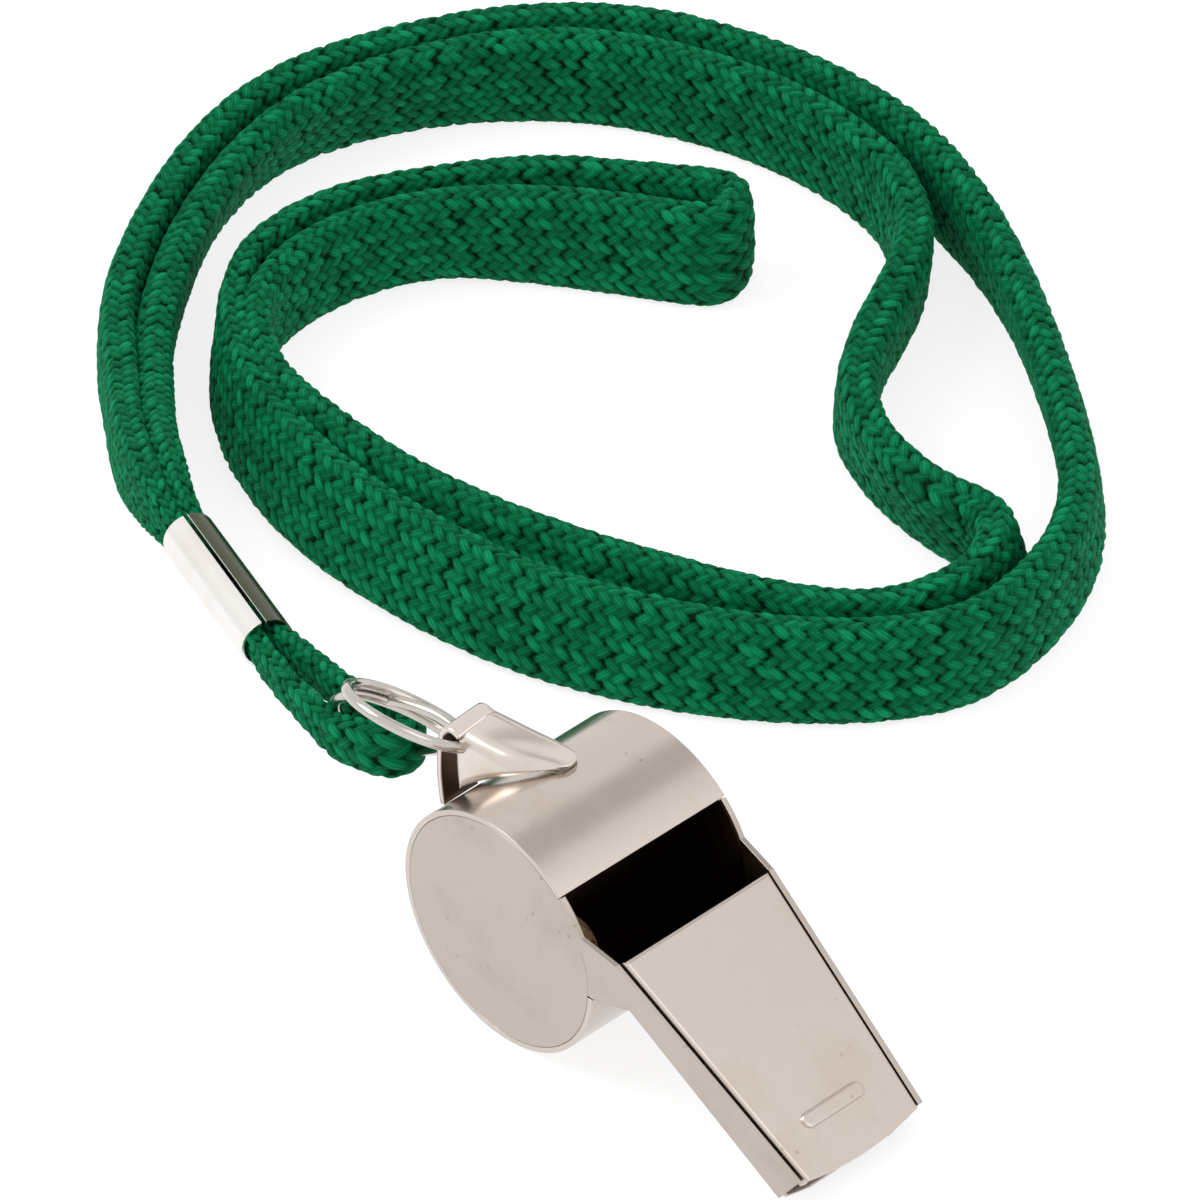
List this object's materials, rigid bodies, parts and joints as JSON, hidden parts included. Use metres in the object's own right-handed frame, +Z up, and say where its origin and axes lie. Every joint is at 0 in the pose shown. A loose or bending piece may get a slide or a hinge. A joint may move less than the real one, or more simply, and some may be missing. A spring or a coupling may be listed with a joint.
{
  "type": "pea whistle on lanyard",
  "caption": "Pressed sheet-metal pea whistle with tapered mouthpiece, hung by a split ring and crimped sleeve from a flat braided neck lanyard.",
  "frame": {"origin": "on the floor under the centre of the whistle's own box, lanyard and ring left out", "axes": "+Z up, +X from the barrel towards the mouthpiece, the barrel's axis along Y"},
  "size_m": [0.1463, 0.1134, 0.0254],
  "materials": {
    "nickel_sheet": "bright nickel plating, lightly scratched",
    "cork": "matte cork",
    "steel_wire": "bright plated spring wire",
    "tinned_sleeve": "bright rolled sheet",
    "green_braid": "herringbone braid, matte"
  },
  "bodies": {
    "lanyard": {"neck_loop": "green_braid", "ring_loop": "green_braid", "crimp_ferrule": "tinned_sleeve"},
    "ring": {"split_ring": "steel_wire"},
    "whistle": {"barrel_band": "nickel_sheet", "left_side_plate": "nickel_sheet", "right_side_plate": "nickel_sheet", "mouthpiece_top": "nickel_sheet", "windway_floor": "nickel_sheet", "lug": "nickel_sheet"},
    "pea": {"pea": "cork"}
  },
  "joints": [
    {"name": "ring_swing", "type": "hinge", "parent": "lanyard", "child": "ring", "pos_m": [-0.03112, -0.00172, 0.01597], "axis": [-0.12, -0.9928, 0], "range_deg": [0, 30]},
    {"name": "whistle_swing", "type": "hinge", "parent": "ring", "child": "whistle", "pos_m": [-0.0206, -0.003, 0.0226], "axis": [0, -1, 0], "range_deg": [0, 60]},
    {"name": "pea_roll", "type": "hinge", "parent": "whistle", "child": "pea", "pos_m": [-0.0112, 0, 0.0115], "axis": [0, 1, 0], "continuous": true}
  ]
}
